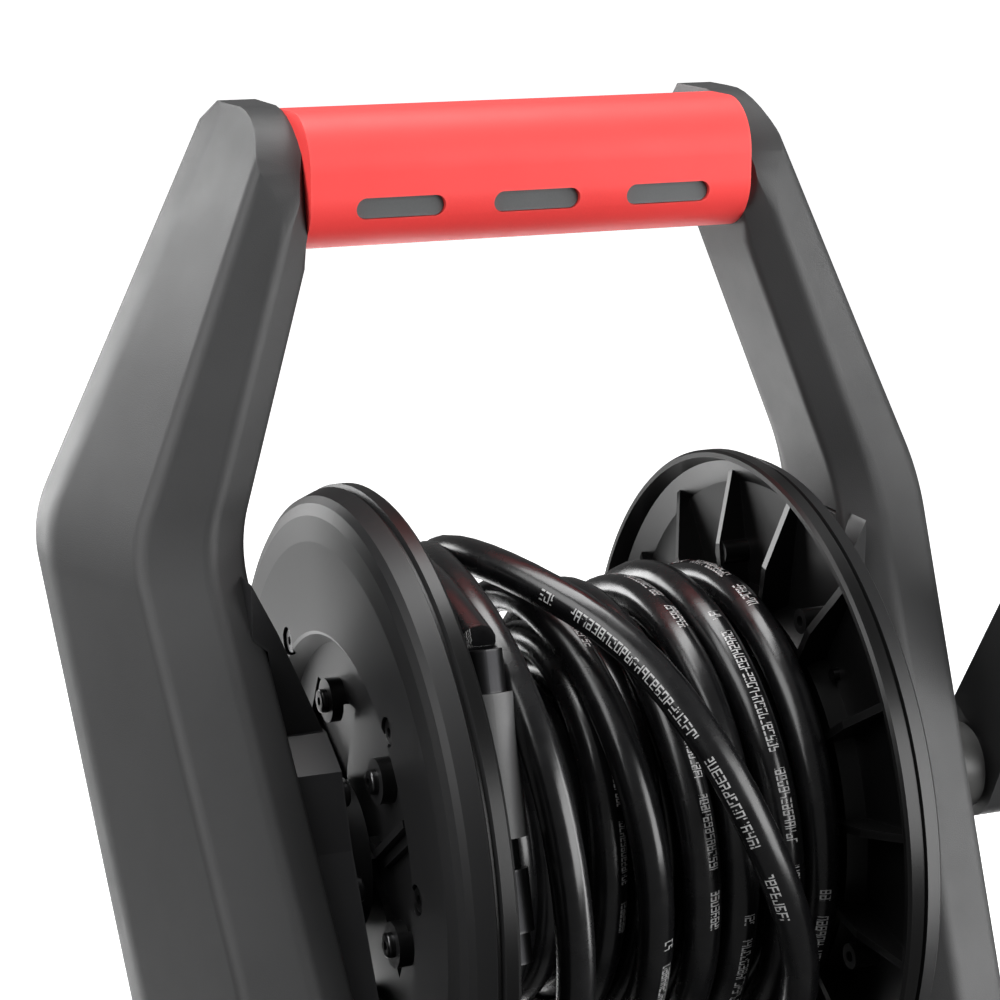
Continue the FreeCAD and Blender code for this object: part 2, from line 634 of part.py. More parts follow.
def fitting_point(share):
    y = FITTING_TOP[0] + share * (FITTING_BOTTOM[0] - FITTING_TOP[0])
    z = FITTING_TOP[1] + share * (FITTING_BOTTOM[1] - FITTING_TOP[1])
    return FITTING_X, y, z


def hose_crimp():
    return rod_between(7.2, fitting_point(0.0), fitting_point(SLEEVE_SHARE[0]))


def hose_sleeve():
    return rod_between(9.0, fitting_point(SLEEVE_SHARE[0]), fitting_point(SLEEVE_SHARE[1]))


def hose_connector():
    first = rod_between(6.0, fitting_point(SLEEVE_SHARE[1]), fitting_point(0.7))
    middle = rod_between(8.0, fitting_point(0.7), fitting_point(0.9))
    last = rod_between(6.6, fitting_point(0.9), fitting_point(1.0))
    return joined([first, middle, last])


# --- everything, by node --------------------------------------------------------
def frame_nodes():
    block = frame_block()
    room = frame_clearance()
    fixings = Part.makeCompound(cover_screws() + carrier_screws() + strut_bolts())
    openings = [rod(BUSH_RADIUS + 1.0, 60, 130), rounded_bar(*CORE_SECTION, 60.0, CORE_HALF_LENGTH), fixings]
    shell = frame_shell(block)
    cover = frame_cover()
    for opening in openings:
        shell = shell.cut(opening)
        cover = cover.cut(opening)
    left_shell = other_side(shell).cut(inlet_hole())
    right_shell = shell.cut(rod(CRANK_BUSH_RADIUS, 131, 160))
    carrier = hub_carrier(room)
    core, front, rear, inserts, grip_fixings = handle_parts()
    strut = rear_strut(room)
    skid = joined([foot_skid()] + pad_posts())
    return {
        "frame_shell_left": left_shell,
        "frame_shell_right": right_shell,
        "frame_cover_left": other_side(cover),
        "frame_cover_right": cover,
        "frame_cover_screws": Part.makeCompound(both_sides(cover_screws())),
        "handle_core": core,
        "grip_shell_front": front,
        "grip_shell_rear": rear,
        "grip_inserts": Part.makeCompound(inserts),
        "grip_screws": Part.makeCompound(grip_fixings),
        "hub_carrier_left": other_side(carrier),
        "hub_carrier_right": carrier,
        "hub_carrier_screws": Part.makeCompound(both_sides(carrier_screws())),
        "bearing_bush_left": other_side(bush(BOSS_X, CARRIER_X + 12)),
        "bearing_bush_right": bush(BOSS_X, CARRIER_X + 12),
        "crank_side_bush": ring(CRANK_BUSH_RADIUS, SHAFT_RADIUS + RUNNING_GAP, 135.0, 149.4),
        "inlet_elbow": inlet_elbow(),
        "inlet_nipple": inlet_nipple(),
        "inlet_seal_rings": Part.makeCompound(seal_rings()),
        "cross_beam": cross_beam(room),
        "rear_strut_left": other_side(strut),
        "rear_strut_right": strut,
        "strut_bolts": Part.makeCompound(both_sides(strut_bolts())),
        "foot_skid_left": other_side(skid),
        "foot_skid_right": skid,
        "foot_bar": foot_bar(),
        "foot_pads": Part.makeCompound(foot_pads()),
        "wheel_axle": wheel_axle(),
        "axle_clips": Part.makeCompound(axle_clips()),
    }


def both_sides(shapes):
    return shapes + [other_side(shape) for shape in shapes]


def drum_nodes():
    right_flange = flange()
    return {
        "flange_left": other_side(right_flange),
        "flange_right": right_flange,
        "flange_screws": Part.makeCompound(both_sides(flange_screws())),
        "drum_core": drum_core(),
        "axle_stub": axle_stub(),
        "drive_shaft": drive_shaft(),
        "outlet_elbow": outlet_elbow(),
        "crank_arm": crank_arm(),
        "crank_screw": crank_screw(),
        "crank_pin": crank_pin(),
        "crank_grip": crank_grip(),
        "crank_grip_cap": crank_grip_cap(),
    }


def wheel_nodes():
    nodes = {}
    for name, shape in (("wheel", wheel_hub()), ("tyre", tyre()), ("wheel_cap", wheel_cap())):
        nodes[name + "_right"] = shape
        nodes[name + "_left"] = other_side(shape)
    return nodes


def hose_nodes():
    return {
        "hose_winding": hose_winding(),
        "hose_crimp": hose_crimp(),
        "hose_sleeve": hose_sleeve(),
        "hose_connector": hose_connector(),
    }


def export(nodes):
    os.makedirs("parts", exist_ok=True)
    cart = Part.makeCompound([shape for name, shape in nodes.items() if not name.startswith("hose_")])
    limits = cart.BoundBox
    move = Vector(-limits.Center.x, -limits.Center.y, AXIS_HEIGHT)
    print("drum centre at", round(move.x, 3), round(move.y, 3), round(move.z, 3))
    print("box", round(limits.XLength, 2), round(limits.YLength, 2), round(limits.ZLength, 2),
          "lowest", round(limits.ZMin + AXIS_HEIGHT, 3))
    for name, shape in nodes.items():
        placed = shape.copy()
        placed.translate(move)
        for solid in placed.Solids:
            if not solid.isValid() or solid.Volume <= 0:
                raise ValueError("bad solid in " + name)
        print(name, len(placed.Solids), "solids", round(placed.Volume / 1000.0, 2), "cm3")
        placed.exportStep("parts/" + name + ".step")


all_nodes = {}
all_nodes.update(frame_nodes())
all_nodes.update(drum_nodes())
all_nodes.update(wheel_nodes())
all_nodes.update(hose_nodes())
export(all_nodes)
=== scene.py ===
import json
import math

import bmesh
import bpy
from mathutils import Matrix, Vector


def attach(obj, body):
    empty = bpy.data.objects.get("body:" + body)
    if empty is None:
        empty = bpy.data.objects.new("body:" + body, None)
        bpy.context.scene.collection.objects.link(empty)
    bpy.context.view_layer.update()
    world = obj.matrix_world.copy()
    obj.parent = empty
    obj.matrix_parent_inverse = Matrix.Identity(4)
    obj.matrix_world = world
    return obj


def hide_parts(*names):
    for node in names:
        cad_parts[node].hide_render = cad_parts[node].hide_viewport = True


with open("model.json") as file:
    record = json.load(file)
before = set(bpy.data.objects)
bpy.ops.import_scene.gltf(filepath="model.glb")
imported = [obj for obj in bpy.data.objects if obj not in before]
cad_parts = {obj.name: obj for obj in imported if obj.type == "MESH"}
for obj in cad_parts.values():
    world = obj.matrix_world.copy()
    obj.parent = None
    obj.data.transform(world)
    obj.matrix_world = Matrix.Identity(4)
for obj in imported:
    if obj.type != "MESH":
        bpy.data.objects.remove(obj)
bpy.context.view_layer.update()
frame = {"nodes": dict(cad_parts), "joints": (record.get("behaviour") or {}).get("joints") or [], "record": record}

nodes = frame["nodes"]
joints = {joint["name"]: joint for joint in frame["joints"]}
DRUM = Vector(joints["drum_spin"]["pos_m"])      # drum axis, midway between the flanges
MM = 0.001
BEVEL_ANGLE = math.radians(35.0)
CAD_SHARP_ANGLE = math.radians(28.0)
FRAME_SHARP_ANGLE = math.radians(30.0)


# --- helpers -----------------------------------------------------------------
def at(x, y, z):
    """A point given in millimetres from the drum centre, in the row frame."""
    return DRUM + Vector((x, y, z)) * MM


def on_drum(x, radius, angle):
    """A point round the drum; the angle goes from the person's side over the top."""
    turn = math.radians(angle)
    return at(x, radius * math.cos(turn), radius * math.sin(turn))


def add_bevel(piece, width):
    """Rounds the edges sharper than BEVEL_ANGLE; the flat faces keep a flat shade."""
    bevel = piece.modifiers.new("bevel", "BEVEL")
    bevel.width = width * MM
    bevel.segments = 3
    bevel.limit_method = "ANGLE"
    bevel.angle_limit = BEVEL_ANGLE
    normals = piece.modifiers.new("normals", "WEIGHTED_NORMAL")
    normals.keep_sharp = True
    normals.weight = 90


def add_object(name, data):
    piece = bpy.data.objects.new(name, data)
    bpy.context.scene.collection.objects.link(piece)
    return piece


def shade_smooth(mesh, sharp_angle):
    mesh.polygons.foreach_set("use_smooth", [True] * len(mesh.polygons))
    mesh.set_sharp_from_angle(angle=sharp_angle)


# --- materials ---------------------------------------------------------------
DRIFT_SCALE = 22.0         # slow change of colour over a moulding
WAVE_SCALE = 90.0          # faint unevenness of a moulded face
EDGE_RADIUS = 1.2 * MM     # how wide a rubbed edge is


class Nodes:
    """Small helper for building a material's nodes."""

    def __init__(self, name):
        self.material = bpy.data.materials.new(name)
        self.material.use_nodes = True
        self.tree = self.material.node_tree
        self.shader = self.tree.nodes["Principled BSDF"]
        self.place = self.add("ShaderNodeTexCoord").outputs["Object"]

    def add(self, kind, **settings):
        node = self.tree.nodes.new(kind)
        for key, value in settings.items():
            setattr(node, key, value)
        return node

    def link(self, source, target):
        self.tree.links.new(source, target)

    def noise(self, scale, detail=3.0, roughness=0.55):
        node = self.add("ShaderNodeTexNoise")
        node.inputs["Scale"].default_value = scale
        node.inputs["Detail"].default_value = detail
        node.inputs["Roughness"].default_value = roughness
        self.link(self.place, node.inputs["Vector"])
        return node.outputs["Fac"]

    def span(self, value, low, high, to_low=0.0, to_high=1.0):
        node = self.add("ShaderNodeMapRange")
        node.inputs["From Min"].default_value = low
        node.inputs["From Max"].default_value = high
        node.inputs["To Min"].default_value = to_low
        node.inputs["To Max"].default_value = to_high
        self.link(value, node.inputs["Value"])
        return node.outputs["Result"]

    def math(self, operation, first, second=0.5, third=0.5):
        node = self.add("ShaderNodeMath", operation=operation)
        for socket, value in zip(node.inputs, (first, second, third)):
            if hasattr(value, "links"):
                self.link(value, socket)
            else:
                socket.default_value = value
        return node.outputs["Value"]

    def within(self, value, low, high):
        """1 where the value lies between two limits."""
        return self.math("COMPARE", value, (low + high) / 2, (high - low) / 2)

    def mix(self, amount, first, second):
        node = self.add("ShaderNodeMix", data_type="RGBA")
        sockets = (node.inputs[0], node.inputs[6], node.inputs[7])    # factor and the two colours
        for socket, value in zip(sockets, (amount, first, second)):
            if hasattr(value, "links"):
                self.link(value, socket)
            elif isinstance(value, (tuple, list)):
                socket.default_value = (*value, 1.0)
            else:
                socket.default_value = value
        return node.outputs[2]

    def edges(self, radius):
        """1 along edges and corners, 0 on flat faces."""
        bevel = self.add("ShaderNodeBevel", samples=4)
        bevel.inputs["Radius"].default_value = radius
        facing = self.add("ShaderNodeNewGeometry")
        dot = self.add("ShaderNodeVectorMath", operation="DOT_PRODUCT")
        self.link(bevel.outputs["Normal"], dot.inputs[0])
        self.link(facing.outputs["Normal"], dot.inputs[1])
        return self.span(dot.outputs["Value"], 0.995, 0.9)

    def bump(self, heights):
        """Stacks (height socket, strength, distance in mm) bumps."""
        normal = None
        for height, strength, distance in heights:
            node = self.add("ShaderNodeBump")
            node.inputs["Strength"].default_value = strength
            node.inputs["Distance"].default_value = distance * MM
            self.link(height, node.inputs["Height"])
            if normal:
                self.link(normal, node.inputs["Normal"])
            normal = node.outputs["Normal"]
        self.link(normal, self.shader.inputs["Normal"])


def plastic(name, colour, worn, roughness, grain, grain_depth, metallic=0.0, specular=0.5, spread=0.06):
    """Moulded plastic or plain metal: fine grain, slow colour drift, rubbed edges.

    colour and worn are the plain and the rubbed colour, grain is the texture's scale,
    and grain_depth is its height in mm.
    """
    n = Nodes(name)
    drift = n.noise(DRIFT_SCALE, 4.0)
    speck = n.noise(grain, 2.0, 0.6)
    rubbed = n.span(n.noise(160.0, 3.0), 0.35, 0.65, 0.35, 1.0)
    edge = n.math("MULTIPLY", n.edges(EDGE_RADIUS), rubbed)
    dark = tuple(c * (1.0 - 2.2 * spread) for c in colour)
    light = tuple(min(1.0, c * (1.0 + 2.2 * spread)) for c in colour)
    base = n.mix(n.span(drift, 0.3, 0.7), dark, light)
    base = n.mix(n.math("MULTIPLY", n.span(speck, 0.42, 0.6), 0.35), base, light)
    base = n.mix(n.math("MULTIPLY", edge, 0.35), base, worn)
    n.link(base, n.shader.inputs["Base Color"])
    rough = n.span(n.noise(60.0, 3.0), 0.3, 0.7, roughness - 0.03, roughness + 0.03)
    rough = n.math("SUBTRACT", rough, n.math("MULTIPLY", edge, 0.08))
    n.link(rough, n.shader.inputs["Roughness"])
    n.shader.inputs["Metallic"].default_value = metallic
    n.shader.inputs["Specular IOR Level"].default_value = specular
    n.bump([(speck, 0.55, grain_depth), (n.noise(WAVE_SCALE, 2.0), 0.12, 0.05)])
    return n.material


def flange_material():
    """Drum plastic with a satin outer face and a polished hose side, with painted shade that makes the hose side
    darker.
    """
    n = Nodes("flange plastic")
    place = n.add("ShaderNodeSeparateXYZ")
    n.link(n.place, place.inputs[0])
    facing = n.add("ShaderNodeSeparateXYZ")
    n.link(n.add("ShaderNodeNewGeometry").outputs["Normal"], facing.inputs[0])
    from_middle = n.math("SUBTRACT", place.outputs["X"], DRUM.x)
    outer = n.span(n.math("MULTIPLY", from_middle, facing.outputs["X"]), 0.008, 0.03)
    drift = n.span(n.noise(DRIFT_SCALE, 4.0), 0.3, 0.7)
    satin = n.mix(drift, (0.0105, 0.0105, 0.011), (0.0125, 0.0125, 0.013))
    # Painted shade: the hose side gets a colour about five times darker than the outer face, standing in for the
    # shade cast by the other flange and the hose.
    hose_side_painted_shade = n.mix(drift, (0.0022, 0.0022, 0.0023), (0.0032, 0.0032, 0.0033))
    base = n.mix(outer, hose_side_painted_shade, satin)
    base = n.mix(n.math("MULTIPLY", n.edges(EDGE_RADIUS), 0.12), base, (0.03, 0.03, 0.031))
    n.link(base, n.shader.inputs["Base Color"])
    n.link(n.span(outer, 0.0, 1.0, 0.3, 0.42), n.shader.inputs["Roughness"])
    n.shader.inputs["Specular IOR Level"].default_value = 0.34
    n.bump([(n.noise(1500.0, 2.0, 0.6), 0.5, 0.02), (n.noise(WAVE_SCALE, 2.0), 0.12, 0.05)])
    return n.material


# Printed marks on the hose, in mm along it. Each letter is a chance set of seven
# strokes, each given by its span across and up the letter.
LETTER_STEP = 2.7
LETTER_WIDTH = 2.1
PRINT_HALF_HEIGHT = 0.05   # as a share of the way round the hose
PRINT_PERIOD = 300.0
PRINT_WORDS = [(0, 5.4), (13.5, 78.3), (86.4, 121.5), (132.3, 151.2)]
PRINT_STRETCH = 1.9        # the outer turns are longer than the mean turn
PRINT_SHOWN = 13200.0      # where the print lies at the middle of the UV's height
PRINT_TWIST = 14000.0      # length over which the print turns once round the hose
PRINT_START = 221.0
STROKES = [(0, 1, 0, 0.15), (0, 1, 0.42, 0.57), (0, 1, 0.85, 1), (0, 0.22, 0, 0.5),
           (0, 0.22, 0.5, 1), (0.78, 1, 0, 0.5), (0.78, 1, 0.5, 1)]
STROKE_LEFT_OUT = 0.34     # chance that a stroke is missing


def letter_chance(n, letter, seed):
    """A random number for each letter."""
    joined = n.add("ShaderNodeCombineXYZ")
    n.link(letter, joined.inputs[0])
    joined.inputs[1].default_value = seed
    white = n.add("ShaderNodeTexWhiteNoise", noise_dimensions="3D")
    n.link(joined.outputs[0], white.inputs["Vector"])
    return white.outputs["Value"]


def print_strokes(n, along, around):
    """1 on the strokes of an endless row of letters."""
    letter = n.math("FLOOR", n.math("DIVIDE", along, LETTER_STEP))
    part = n.math("FRACT", n.math("DIVIDE", along, LETTER_STEP))
    across = n.math("MULTIPLY", part, LETTER_STEP / LETTER_WIDTH)
    up = n.span(around, 0.5 - PRINT_HALF_HEIGHT, 0.5 + PRINT_HALF_HEIGHT)
    strokes = 0.0
    for seed, (x_low, x_high, y_low, y_high) in enumerate(STROKES):
        place = n.math("MULTIPLY", n.within(across, x_low, x_high), n.within(up, y_low, y_high))
        drawn = n.math("GREATER_THAN", letter_chance(n, letter, seed), STROKE_LEFT_OUT)
        strokes = n.math("MAXIMUM", strokes, n.math("MULTIPLY", place, drawn))
    return strokes


def print_words(n, along):
    """1 where the words of each period lie."""
    here = n.math("MODULO", n.math("ADD", along, PRINT_START), PRINT_PERIOD)
    words = 0.0
    for start, end in PRINT_WORDS:
        words = n.math("MAXIMUM", words, n.within(here, start, end))
    return words


def hose_print(n, length):
    """1 on the printed marks."""
    uv = n.add("ShaderNodeUVMap", uv_map="UVMap").outputs["UV"]
    split = n.add("ShaderNodeSeparateXYZ")
    n.link(uv, split.inputs[0])
    along = n.math("MULTIPLY", split.outputs["X"], length / MM * PRINT_STRETCH)
    twist = n.math("DIVIDE", n.math("SUBTRACT", along, PRINT_SHOWN), PRINT_TWIST)
    around = n.math("WRAP", n.math("SUBTRACT", split.outputs["Y"], twist), 1.0, 0.0)
    inside = n.within(around, 0.5 - PRINT_HALF_HEIGHT, 0.5 + PRINT_HALF_HEIGHT)
    worn = n.math("GREATER_THAN", n.noise(420.0, 2.0), 0.36)
    marks = print_strokes(n, along, around)
    for part in (print_words(n, along), inside, worn):
        marks = n.math("MULTIPLY", marks, part)
    return marks


def hose_material(length):
    """Glossy hose cover with a broken line of small white printed marks."""
    n = Nodes("hose")
    marks = hose_print(n, length)
    dust = n.span(n.noise(180.0, 4.0, 0.7), 0.45, 0.8)
    base = n.mix(n.math("MULTIPLY", dust, 0.35), (0.0045, 0.0045, 0.005), (0.018, 0.018, 0.019))
    base = n.mix(n.math("MULTIPLY", marks, 0.85), base, (0.6, 0.6, 0.6))
    n.link(base, n.shader.inputs["Base Color"])
    cover = n.span(n.noise(75.0, 4.0), 0.3, 0.7, 0.2, 0.32)
    rough = n.math("ADD", cover, n.math("MULTIPLY", marks, 0.2))
    n.link(rough, n.shader.inputs["Roughness"])
    n.shader.inputs["Specular IOR Level"].default_value = 0.6
    n.bump([(n.noise(700.0, 2.0), 0.12, 0.08), (n.noise(70.0, 3.0), 0.3, 0.25)])
    return n.material


FRAME_GREY = plastic("frame plastic", (0.034, 0.0342, 0.0348), (0.11, 0.11, 0.113), 0.5, 2600.0, 0.1,
                     specular=0.42)
CARRIER_BLACK = plastic("carrier plastic", (0.014, 0.014, 0.015), (0.06, 0.06, 0.062), 0.42, 1800.0, 0.05)
GRIP_RED = plastic("grip red", (0.98, 0.064, 0.061), (0.98, 0.16, 0.14), 0.52, 1500.0, 0.025, specular=0.34,
                   spread=0.02)
INSERT_GREY = plastic("insert grey", (0.075, 0.08, 0.082), (0.2, 0.2, 0.2), 0.5, 1900.0, 0.04)
FLANGE_BLACK = flange_material()
BUSH_GREY = plastic("bush plastic", (0.09, 0.09, 0.088), (0.2, 0.2, 0.2), 0.4, 1200.0, 0.02)
STEEL = plastic("zinc steel", (0.35, 0.35, 0.36), (0.6, 0.6, 0.6), 0.34, 900.0, 0.02, metallic=1.0)
DARK_STEEL = plastic("dark plated steel", (0.06, 0.06, 0.062), (0.25, 0.25, 0.25), 0.3, 900.0, 0.02,
                     metallic=1.0)
FITTING_STEEL = plastic("hose fitting steel", (0.022, 0.022, 0.023), (0.12, 0.12, 0.12), 0.38, 900.0,
                        0.02, metallic=1.0)
ALUMINIUM = plastic("core tube aluminium", (0.6, 0.6, 0.61), (0.75, 0.75, 0.75), 0.36, 700.0, 0.02,
                    metallic=1.0)
BRASS = plastic("brass", (0.6, 0.42, 0.16), (0.75, 0.6, 0.3), 0.3, 700.0, 0.02, metallic=1.0)
RUBBER = plastic("rubber", (0.015, 0.015, 0.0155), (0.04, 0.04, 0.04), 0.62, 1400.0, 0.06)
TYRE = plastic("tyre rubber", (0.017, 0.017, 0.0175), (0.06, 0.06, 0.058), 0.66, 1100.0, 0.09)
WHEEL_BLACK = plastic("wheel plastic", (0.022, 0.022, 0.023), (0.08, 0.08, 0.082), 0.42, 1600.0, 0.04)
CRANK_GREY = plastic("crank plastic", (0.03, 0.0302, 0.031), (0.1, 0.1, 0.1), 0.45, 2200.0, 0.06)
SLEEVE_GREY = plastic("sleeve rubber", (0.078, 0.078, 0.079), (0.12, 0.12, 0.12), 0.5, 1300.0, 0.03)

SLOT_MATERIALS = {
    "frame_plastic": FRAME_GREY, "carrier_plastic": CARRIER_BLACK, "grip_red": GRIP_RED,
    "insert_grey": INSERT_GREY, "drum_plastic": FLANGE_BLACK, "bush_plastic": BUSH_GREY,
    "screw_steel": DARK_STEEL, "axle_steel": STEEL, "core_tube": ALUMINIUM, "brass_fitting": BRASS,
    "seal_rubber": RUBBER, "pad_rubber": RUBBER, "hose_rubber": RUBBER, "hose_sleeve": SLEEVE_GREY,
    "hose_metal": FITTING_STEEL, "wheel_plastic": WHEEL_BLACK, "tyre_rubber": TYRE,
    "crank_plastic": CRANK_GREY,
}
SLOT_OF = {part["node"]: part["material_slot"] for part in frame["record"]["subparts"]}


# Moulded parts with broken edges, and the size of their edge rounding in mm.
SOFT_EDGES = {
    "rear_strut_left": 1.5, "rear_strut_right": 1.5, "foot_skid_left": 1.5, "foot_skid_right": 1.5,
    "hub_carrier_left": 1.0, "hub_carrier_right": 1.0, "crank_arm": 1.2, "grip_shell_front": 0.8,
    "foot_bar": 0.8,
}


def dress_cad_nodes():
    for name, node in nodes.items():
        node.data.materials.clear()
        node.data.materials.append(SLOT_MATERIALS[SLOT_OF[name]])
        shade_smooth(node.data, CAD_SHARP_ANGLE)
        if name in SOFT_EDGES:
            add_bevel(node, SOFT_EDGES[name])


# --- side frames -----------------------------------------------------------------
# Outline of the right side frame from the inner front corner round the front, the
# outer side and the rear, at the top and at the knee, in mm from the drum centre.
TOP_OUTLINE = [(57.0, 34.0), (68.6, 26.0), (81.0, 29.5), (84.5, 70.0),
               (86.0, 84.0), (80.0, 89.0), (64.0, 85.0), (57.0, 69.0)]
KNEE_OUTLINE = [(102.0, 9.0), (114.5, 2.5), (134.8, 11.0), (153.0, 50.0),
                (154.5, 66.0), (149.0, 72.0), (110.0, 64.0), (102.5, 45.0)]
FRONT_POINTS = 3                 # the first points of an outline are its front
LEG_LEAN = 0.577                 # forward lean of the leg, mm per mm down
LEG_REAR_LEAN = 0.42             # lean of its rear between knee and hub
LEG_TOE_IN = 0.09                # how the leg moves inwards as it goes down
FOOT_LEVEL = -350.0
HUB_LEVEL = -100.0
KNEE_LEVEL = 100.0
TOP_LEVEL = 232.0
BEND_REACH = [0.0, 22.0, 11.0]   # how far from each bend its rounding starts
CORNER_ROUNDING = [2.4, 3.0, 3.4, 4.0, 5.0, 4.0, 3.0, 2.4]
CORNER_STEPS = 4
GRIP_END_X = 74.0
GRIP_LEVEL = 150.0               # above this the moulding stops at the grip's end
ARM_TOP = 227.0
FRONT_ROUNDING = 36.5            # radius of the arm's rounded front top
FRONT_CENTRE = Vector((0, 57.0, ARM_TOP - FRONT_ROUNDING))
COVER_TOP = 92.0
COVER_DEPTH = 3.2                # depth of the step that the cover lies in
COVER_LIP = 3.2                  # width left of the moulding on each side of it
COVER_THICKNESS = 2.8
COVER_REAR_GAP = 0.4
COVER_FRONT_GAP = 1.1


def leg_outline(outline, drop, rear_lean):
    moved = []
    for index, (x, y) in enumerate(outline):
        lean = LEG_LEAN if index < FRONT_POINTS else rear_lean
        moved.append((x - LEG_TOE_IN * drop, y - lean * drop))
    return moved


HUB_OUTLINE = leg_outline(KNEE_OUTLINE, KNEE_LEVEL - HUB_LEVEL, LEG_REAR_LEAN)
FOOT_OUTLINE = leg_outline(HUB_OUTLINE, HUB_LEVEL - FOOT_LEVEL, LEG_LEAN)
LEVELS = [(FOOT_LEVEL, FOOT_OUTLINE), (HUB_LEVEL, HUB_OUTLINE), (KNEE_LEVEL, KNEE_OUTLINE),
          (TOP_LEVEL, TOP_OUTLINE)]


def ramp(distance, reach):
    """0 before a bend, the distance after it, a smooth curve in between."""
    if abs(distance) >= reach:
        return max(distance, 0.0)
    return (distance + reach) ** 2 / (4.0 * reach)


def outline_at(level):
    """Corners of the side frame at a level, with its knee and hub bends rounded."""
    corners = []
    for index in range(len(TOP_OUTLINE)):
        place = Vector(FOOT_OUTLINE[index])
        last_slope = Vector((0.0, 0.0))
        for (z0, low), (z1, high), reach in zip(LEVELS, LEVELS[1:], BEND_REACH):
            slope = (Vector(high[index]) - Vector(low[index])) / (z1 - z0)
            place += (slope - last_slope) * ramp(level - z0, reach)
            last_slope = slope
        corners.append(place)
    return corners


def rounded_corners(corners):
    """The corners of an outline, each replaced by a short curve."""
    ring = []
    for index, corner in enumerate(corners):
        before = corners[index - 1]
        after = corners[(index + 1) % len(corners)]
        start = corner + (before - corner).normalized() * CORNER_ROUNDING[index]
        end = corner + (after - corner).normalized() * CORNER_ROUNDING[index]
        for step in range(CORNER_STEPS + 1):
            share = step / CORNER_STEPS
            ring.append(start * (1 - share) ** 2 + corner * 2 * share * (1 - share) + end * share ** 2)
    return ring


def step_points(corners, rear_lip, front_lip, depth):
    """Four points of the step on the inner side, from the rear to the front."""
    along = (corners[0] - corners[-1]).normalized()
    inward = Vector((-along.y, along.x))
    rear = corners[-1] + along * rear_lip
    front = corners[0] - along * front_lip
    return [rear, rear + inward * depth, front + inward * depth, front]


def frame_ring(level, depth):
    """One cross-section with rounded corners and a step for the cover."""
    corners = outline_at(level)
    ring = []
    for point in rounded_corners(corners) + step_points(corners, COVER_LIP, COVER_LIP, depth):
        x = max(point.x, GRIP_END_X) if level > GRIP_LEVEL else point.x
        ring.append(Vector((x, point.y, level)))
    return ring


def frame_levels():
    """Heights of the cross-sections, close together at the bends."""
    levels = [FOOT_LEVEL, -300.0, -240.0, -180.0]
    levels += [-124.0 + 6.0 * step for step in range(9)]
    levels += [-40.0, 20.0, 60.0]
    levels += [87.0 + 1.0 * step for step in range(5)]
    levels += [COVER_TOP - 0.01, COVER_TOP + 0.01]
    levels += [93.0 + 2.0 * step for step in range(11)]
    levels += [125.0, 150.0, 160.0, 170.0, 180.0, 190.0, 200.0, 236.0]
    return levels


def cut_top(mesh):
    """Cuts the arm's top to its rounded front, flat top and two slopes."""
    cuts = [(Vector((0, 0, ARM_TOP)), Vector((0, 0, 1))),
            (Vector((86.5, 0, ARM_TOP)), Vector((28.0, 0, 18.5))),
            (Vector((0, 76.0, ARM_TOP)), Vector((0, 1, 1)))]
    for step in range(9):
        angle = math.radians(18.0 + 9.0 * step)
        outward = Vector((0, -math.cos(angle), math.sin(angle)))
        cuts.append((FRONT_CENTRE + outward * FRONT_ROUNDING, outward))
    for point, outward in cuts:
        faces = [face for face in mesh.faces if min(vert.co.z for vert in face.verts) > GRIP_LEVEL - 1.0]
        edges = dict.fromkeys(edge for face in faces for edge in face.edges)
        verts = dict.fromkeys(vert for face in faces for vert in face.verts)
        bmesh.ops.bisect_plane(mesh, geom=list(verts) + list(edges) + faces, dist=1e-4,
                               plane_co=point, plane_no=outward.normalized(), clear_outer=True)
        rim = [edge for edge in mesh.edges if edge.is_boundary]
        if rim:
            bmesh.ops.holes_fill(mesh, edges=rim, sides=0)


def ring_mesh(rings):
    """Closed mesh through rings of equal count."""
    mesh = bmesh.new()
    rows = [[mesh.verts.new(point) for point in ring] for ring in rings]
    count = len(rows[0])
    for low, high in zip(rows, rows[1:]):
        for index in range(count):
            after = (index + 1) % count
            mesh.faces.new((low[index], low[after], high[after], high[index]))
    mesh.faces.new(list(reversed(rows[0])))
    mesh.faces.new(rows[-1])
    return mesh


def place_mesh(name, mesh, side, replaced, bevel_width):
    """Puts a mesh built in mm about the drum centre in place, mirrored for the left."""
    bmesh.ops.remove_doubles(mesh, verts=mesh.verts, dist=0.005)
    for vert in mesh.verts:
        vert.co = at(vert.co.x * side, vert.co.y, vert.co.z)
    bmesh.ops.recalc_face_normals(mesh, faces=mesh.faces)
    data = bpy.data.meshes.new(name)
    mesh.to_mesh(data)
    mesh.free()
    shade_smooth(data, FRAME_SHARP_ANGLE)
    piece = add_object(name, data)
    data.materials.append(FRAME_GREY)
    add_bevel(piece, bevel_width)
    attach(piece, "cart")
    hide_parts(replaced)


def cover_ring(level):
    corners = outline_at(level)
    points = step_points(corners, COVER_LIP + COVER_REAR_GAP, COVER_LIP + COVER_FRONT_GAP, COVER_THICKNESS)
    return [Vector((point.x, point.y, level)) for point in points]


def shell_mesh():
    rings = []
    for level in frame_levels():
        depth = COVER_DEPTH if level < COVER_TOP else 0.0
        rings.append(frame_ring(level, depth))
    shell = ring_mesh(rings)
    cut_top(shell)
    return shell


def cover_mesh():
    between = [level for level in frame_levels() if FOOT_LEVEL < level < COVER_TOP - 1.0]
    levels = [FOOT_LEVEL + 1.0] + between + [COVER_TOP - 0.8]
    return ring_mesh([cover_ring(level) for level in levels])


def add_side_frames():
    for side, name in ((-1, "left"), (1, "right")):
        place_mesh("side_" + name, shell_mesh(), side, "frame_shell_" + name, 2.2)
        place_mesh("side_cover_" + name, cover_mesh(), side, "frame_cover_" + name, 0.5)


# --- hose --------------------------------------------------------------------
HOSE_DIAMETER = 11.5
TURN_POINTS = 16
OUT_TO_LINE = 1.0 / 0.981       # a coil's line runs just inside its control points

# The hidden layers: angle turned, place along the axis, radius.
INNER_TURNS = [
    (0, -37.0, 50.5), (120, -34.0, 48.6), (2460, 50.8, 48.6), (150, 51.2, 56.0), (120, 50.0, 60.3),
    (1680, -13.0, 60.3),
]
HOSE_START_ANGLE = 90.0

